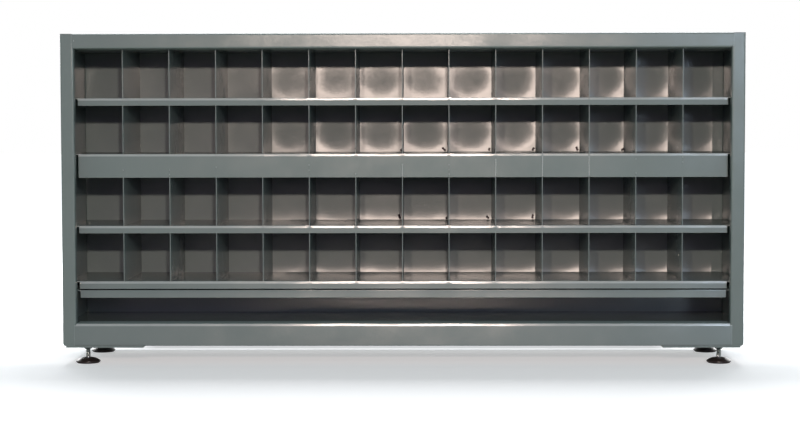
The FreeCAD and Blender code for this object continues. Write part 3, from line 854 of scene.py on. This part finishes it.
def weld_bead(name, ripples, welds, material):
    """One rippled bead, lying along Z from 0 upwards, proud towards -Y."""
    radius = welds.bead_width / 2
    profile = [(BEAD_START * radius, 0.0)]
    for ripple in range(ripples):
        for share, width in RIPPLE_SHAPE:
            profile.append((width * radius, (ripple + share) * welds.ripple))
    profile.append((BEAD_END * radius, ripples * welds.ripple + BEAD_CAP))
    bead = turned_piece(name, profile, BEAD_SIDES)
    bpy.ops.mesh.select_all(action="SELECT")
    flatten = welds.bead_height / radius
    bpy.ops.transform.resize(value=(1.0, flatten, 1.0), center_override=(0.0, 0.0, 0.0))
    finish_piece(bead, "root", material, BEAD_SMOOTH)
    return bead


def stretched(place, x, y, z):
    """Matrix that stretches a piece and puts it at its place."""
    return Matrix.Translation(place) @ Matrix.Diagonal((x, y, z, 1.0))


class SORTER_OT_welds(bpy.types.Operator):
    """Weld beads on the band, tacks on the lips and the frame, and knots in the cells' back corners"""

    bl_idname = "sorter.welds"
    bl_label = "Lay the welds"

    def beads(self, welds, bead):
        """Long beads through the deep band."""
        low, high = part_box("shelf_2")
        height = high[2] - low[2] - BAND_EDGE
        for number, share in BAND_BEADS.items():
            size = share * height / (LONG_RIPPLES * welds.ripple)
            place = (divider_x(number), LIP_FACE, low[2] + BEAD_RISE)
            copy_piece(bead, f"band_bead_{number:02d}", stretched(place, 1.0, 1.0, size), "root")

    def tacks(self, tack):
        """Tacks on the deep band, the lips, the ends of the top lip, and the frame's corners at the left."""
        low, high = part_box("shelf_2")
        height = high[2] - low[2] - BAND_EDGE
        places = [
            (divider_x(number), LIP_FACE, low[2] + share * height, BAND_TACK_SIZE)
            for number, shares in BAND_TACKS.items() for share in shares
        ]
        for node, number, size in LIP_TACKS:
            places.append((divider_x(number), LIP_FACE + LIP_TACK_DEPTH, top_of(node) - LIP_TACK_DROP, size))
        left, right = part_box("bottom_rail")[0][0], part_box("bottom_rail")[1][0]
        lip_z = top_of("shelf_1") - END_TACK_DROP
        places += [
            (left + 9 * MM, LIP_FACE + END_TACK_DEPTH, lip_z, 0.6),
            (right - 10 * MM, LIP_FACE + END_TACK_DEPTH, lip_z, 0.5),
            (left + 6 * MM, FRONT_FACE + CORNER_TACK_DEPTH, top_of("side_panel_left") - 21 * MM, 0.5),
            (left + 17 * MM, FRONT_FACE + CORNER_TACK_DEPTH, top_of("bottom_rail") - 6 * MM, 0.5),
        ]
        for index, (x, y, z, size) in enumerate(places):
            matrix = stretched((x, y, z), size, 1.0, size)
            copy_piece(tack, f"weld_tack_{index + 1:02d}", matrix, "root")

    def knots(self, knot):
        """Knots of weld in the back corners of the cells, which scorched the steel."""
        spots = [(shelf, number) for shelf, first, last in KNOT_ROWS for number in range(first, last + 1)]
        for index, (shelf, number) in enumerate(spots):
            aside, turn, size = (
                values[index % len(values)] for values in (KNOT_ASIDES, KNOT_TURNS, KNOT_LENGTHS)
            )
            place = (divider_x(number) - aside, BACK_WALL - KNOT_DEPTH, top_of(shelf) + KNOT_RISE)
            matrix = (
                Matrix.Translation(place)
                @ Matrix.Rotation(turn, 4, "Y")
                @ Matrix.Diagonal((KNOT_WIDTH, KNOT_HEIGHT, size, 1.0))
            )
            copy_piece(knot, f"weld_knot_{index + 1:02d}", matrix, "root")

    def execute(self, context):
        welds = context.scene.sorter_welds
        finish = context.scene.sorter_finish
        # the welds' pale enamel is a painted glint
        enamelled = baked_enamel(finish, "baked_enamel_on_welds", paler=WELD_PAINTED_GLINT)
        scorched = baked_enamel(finish, "thin_enamel_on_scorched_weld", base=welds.scorched)
        bead = weld_bead("long_weld", LONG_RIPPLES, welds, enamelled)
        tack = weld_bead("weld_tack", 1, welds, enamelled)
        knot = weld_bead("weld_knot", KNOT_RIPPLES, welds, scorched)
        self.beads(welds, bead)
        self.tacks(tack)
        self.knots(knot)
        for original in (bead, tack, knot):
            bpy.data.objects.remove(original)
        return {"FINISHED"}


# ---------------------------------------------------------------- stage

STAGE_MIDDLE = (0.0, 0.0, 0.45)
WINDOW = {"place": (1.95, -5.0, 1.35), "aim": (0.3, 0.0, 0.45), "size": (0.7, 0.8)}
OVERHEAD = {"place": (0.0, 0.98, 2.6), "aim": (0.0, 0.7, 0.0), "size": (3.0, 1.3)}
REAR_PLACE = (2.6, 3.6, 1.5)  # of the right one
REAR_SIZE = (1.2, 1.2)
FRONT_CONE = (-0.92, -0.97)  # Y of a direction, where the front light begins and where it is full
GLOSS_WALL = (-0.45, 0.05)  # Y of a direction, from the dim room in front to the white one behind
CLIP_END = 200.0

FLOOR_SIZE = 60.0
FLOOR_SQUASH = (0.85, 1.0, 1.0)  # of the round patch that keeps the shadow
FLOOR_PATCH = (0.9, 2.6)  # reach of the patch, and where the floor is plain white
FLOOR_GLOW = (0.30, 0.9)
UNDER_REACH = (0.12, 0.20)  # distance from the sorter's middle line, within which the floor glows more, painted light under it
UNDER_PAINTED_LIGHT = 0.14
PAINTED_SHADOW_WIDTH = (0.88, 0.72)  # distance from the middle, where the painted shadow behind begins and where it is full
PAINTED_SHADOW_DEPTHS = ((0.14, 0.20), (0.42, 0.28))  # Y, the same for its front and its far edge
# darkness of the painted shadow behind the sorter
PAINTED_SHADOW_LEVEL = 0.42
FLOOR_BEHIND = (-0.2, 0.6)  # Y, from where the gloss shows the floor white
FLOOR_TONE = "#e6e6e8"
FLOOR_BOUNCE = "#a8a89e"  # what the floor sends back to the sorter


def pale_floor():
    """Pale matt floor that glows for the camera: it keeps the sorter's shadow near it and goes over to plain
    white further off. Light under the sorter and a shadow behind it are painted in.
    """
    material, tree = new_material("pale_floor")
    place = add_node(tree, "ShaderNodeTexCoord", output="Object")
    width = calc(tree, "ABSOLUTE", along(tree, place, "X"))
    depth = along(tree, place, "Y")
    reach = vector_calc(tree, "MULTIPLY", place, FLOOR_SQUASH)
    reach = vector_calc(tree, "LENGTH", reach, output="Value")
    glow = ranged(tree, reach, FLOOR_PATCH, FLOOR_GLOW)
    # painted light under the sorter, where the floor glows more, and a painted shadow that goes on behind it
    under = ranged(tree, calc(tree, "ABSOLUTE", depth), UNDER_REACH, (UNDER_PAINTED_LIGHT, 0.0))
    glow = calc(tree, "ADD", glow, under)
    painted_shadow_behind = ranged(tree, width, PAINTED_SHADOW_WIDTH)
    for edge in PAINTED_SHADOW_DEPTHS:
        painted_shadow_behind = calc(tree, "MULTIPLY", painted_shadow_behind, ranged(tree, depth, edge))
    # the painted shadow darkens both the floor's glow and its colour
    bright = ranged(tree, painted_shadow_behind, (0.0, 1.0), (1.0, PAINTED_SHADOW_LEVEL))
    glow = calc(tree, "MULTIPLY", glow, bright)
    # the glow shows to the camera, and in the gloss where the floor is behind the sorter
    seen = ray_is(tree, "Camera", "Transmission")
    gloss = calc(tree, "MULTIPLY", ranged(tree, depth, FLOOR_BEHIND), ray_is(tree, "Glossy"))
    glow = calc(tree, "MULTIPLY", glow, calc(tree, "MAXIMUM", seen, gloss))
    tone = scaled(tree, blend(tree, seen, colour(FLOOR_BOUNCE), colour(FLOOR_TONE)), bright)
    matt = add_node(tree, "ShaderNodeBsdfDiffuse", {"Color": tone})
    light = add_node(tree, "ShaderNodeEmission", {"Color": colour(WHITE), "Strength": glow})
    both = add_node(tree, "ShaderNodeAddShader", {0: matt, 1: light})
    add_node(tree, "ShaderNodeOutputMaterial", {"Surface": both})
    return material


def room_world(stage):
    """Light from all round and from straight in front, with a white background for the camera."""
    world = bpy.data.worlds.new("room")
    world.use_nodes = True
    tree = world.node_tree
    tree.nodes.clear()

    def background(hex_text, strength=1.0):
        links = {"Color": colour(hex_text), "Strength": strength}
        return add_node(tree, "ShaderNodeBackground", links)

    def mixed(share, first, second):
        return add_node(tree, "ShaderNodeMixShader", {0: share, 1: first, 2: second})

    depth = along(tree, add_node(tree, "ShaderNodeTexCoord", output="Generated"), "Y")
    white = background(WHITE)
    air = background(stage.air_colour, stage.air_strength)
    front = background(stage.front_colour, stage.front_strength)
    room = mixed(ranged(tree, depth, FRONT_CONE), air, front)
    gloss = mixed(ranged(tree, depth, GLOSS_WALL), background(stage.dim_room), white)
    light = mixed(ray_is(tree, "Glossy"), room, gloss)
    whole = mixed(ray_is(tree, "Camera", "Transmission"), light, white)
    add_node(tree, "ShaderNodeOutputWorld", {"Surface": whole})
    return world


class SORTER_OT_stage(bpy.types.Operator):
    """Camera, lamps, room light and floor"""

    bl_idname = "sorter.stage"
    bl_label = "Set the stage"

    def lamp(self, name, power, hex_text, place, aim, size):
        bpy.ops.object.light_add(type="AREA", location=place)
        lamp = bpy.context.object
        lamp.name = name
        lamp.data.shape = "RECTANGLE"
        lamp.data.size, lamp.data.size_y = size
        lamp.data.energy = power
        lamp.data.color = colour(hex_text)[:3]
        lamp.rotation_euler = (Vector(aim) - Vector(place)).to_track_quat("-Z", "Y").to_euler()

    def camera(self, stage):
        bpy.ops.object.camera_add(location=stage.camera_place)
        camera = bpy.context.object
        turn = (
            Matrix.Rotation(stage.camera_turn, 3, "Z")
            @ Matrix.Rotation(math.pi / 2 - stage.camera_tilt, 3, "X")
            @ Matrix.Rotation(stage.camera_roll, 3, "Z")
        )
        camera.rotation_euler = turn.to_euler()
        camera.data.sensor_width = SENSOR_WIDTH
        camera.data.lens = stage.focal_pixels / IMAGE_WIDTH * SENSOR_WIDTH
        camera.data.clip_end = CLIP_END
        return camera

    def execute(self, context):
        stage = context.scene.sorter_stage
        select_none()
        context.scene.camera = self.camera(stage)
        for index, x in enumerate(stage.lamp_x):
            place = (x, stage.lamp_y, stage.lamp_height)
            size = (stage.lamp_size, stage.lamp_size)
            power = stage.lamp_power[index]
            self.lamp(f"lamp_{index + 1}", power, stage.lamp_colour, place, STAGE_MIDDLE, size)
        self.lamp("window", stage.window_power, stage.window_colour, **WINDOW)
        self.lamp("overhead", stage.overhead_power, WHITE, **OVERHEAD)
        for name, side in (("rear_left", -1), ("rear_right", 1)):
            place = (side * REAR_PLACE[0], *REAR_PLACE[1:])
            self.lamp(name, stage.rear_power, WHITE, place, STAGE_MIDDLE, REAR_SIZE)
        context.scene.world = room_world(stage)

        select_none()
        bpy.ops.mesh.primitive_plane_add(size=FLOOR_SIZE, location=(0, 0, 0))
        floor = context.object
        floor.name = "floor"
        floor.data.materials.append(pale_floor())

        context.scene.view_settings.view_transform = "Standard"
        return {"FINISHED"}


# ---------------------------------------------------------------- add-on


class SORTER_PT_sidebar(bpy.types.Panel):
    """Lists the steps"""

    bl_label = "Mail sorter"
    bl_idname = "SORTER_PT_sidebar"
    bl_space_type = "VIEW_3D"
    bl_region_type = "UI"
    bl_category = "Mail sorter"

    def draw(self, context):
        for step in STEPS:
            self.layout.operator(step.bl_idname)


STEPS = (
    SORTER_OT_enamel, SORTER_OT_fixings, SORTER_OT_studs, SORTER_OT_pads, SORTER_OT_welds, SORTER_OT_stage,
)
SETTINGS = {
    "sorter_finish": FinishSettings, "sorter_foot": FootSettings, "sorter_welds": WeldSettings,
    "sorter_stage": StageSettings,
}
CLASSES = (*SETTINGS.values(), *STEPS, SORTER_PT_sidebar)


def register():
    for item in CLASSES:
        bpy.utils.register_class(item)
    for name, group in SETTINGS.items():
        setattr(bpy.types.Scene, name, bpy.props.PointerProperty(type=group))


def unregister():
    for name in SETTINGS:
        delattr(bpy.types.Scene, name)
    for item in reversed(CLASSES):
        bpy.utils.unregister_class(item)


def main():
    register()
    for step in STEPS:
        group, name = step.bl_idname.split(".")
        getattr(getattr(bpy.ops, group), name)()


if __name__ == "__main__":
    main()
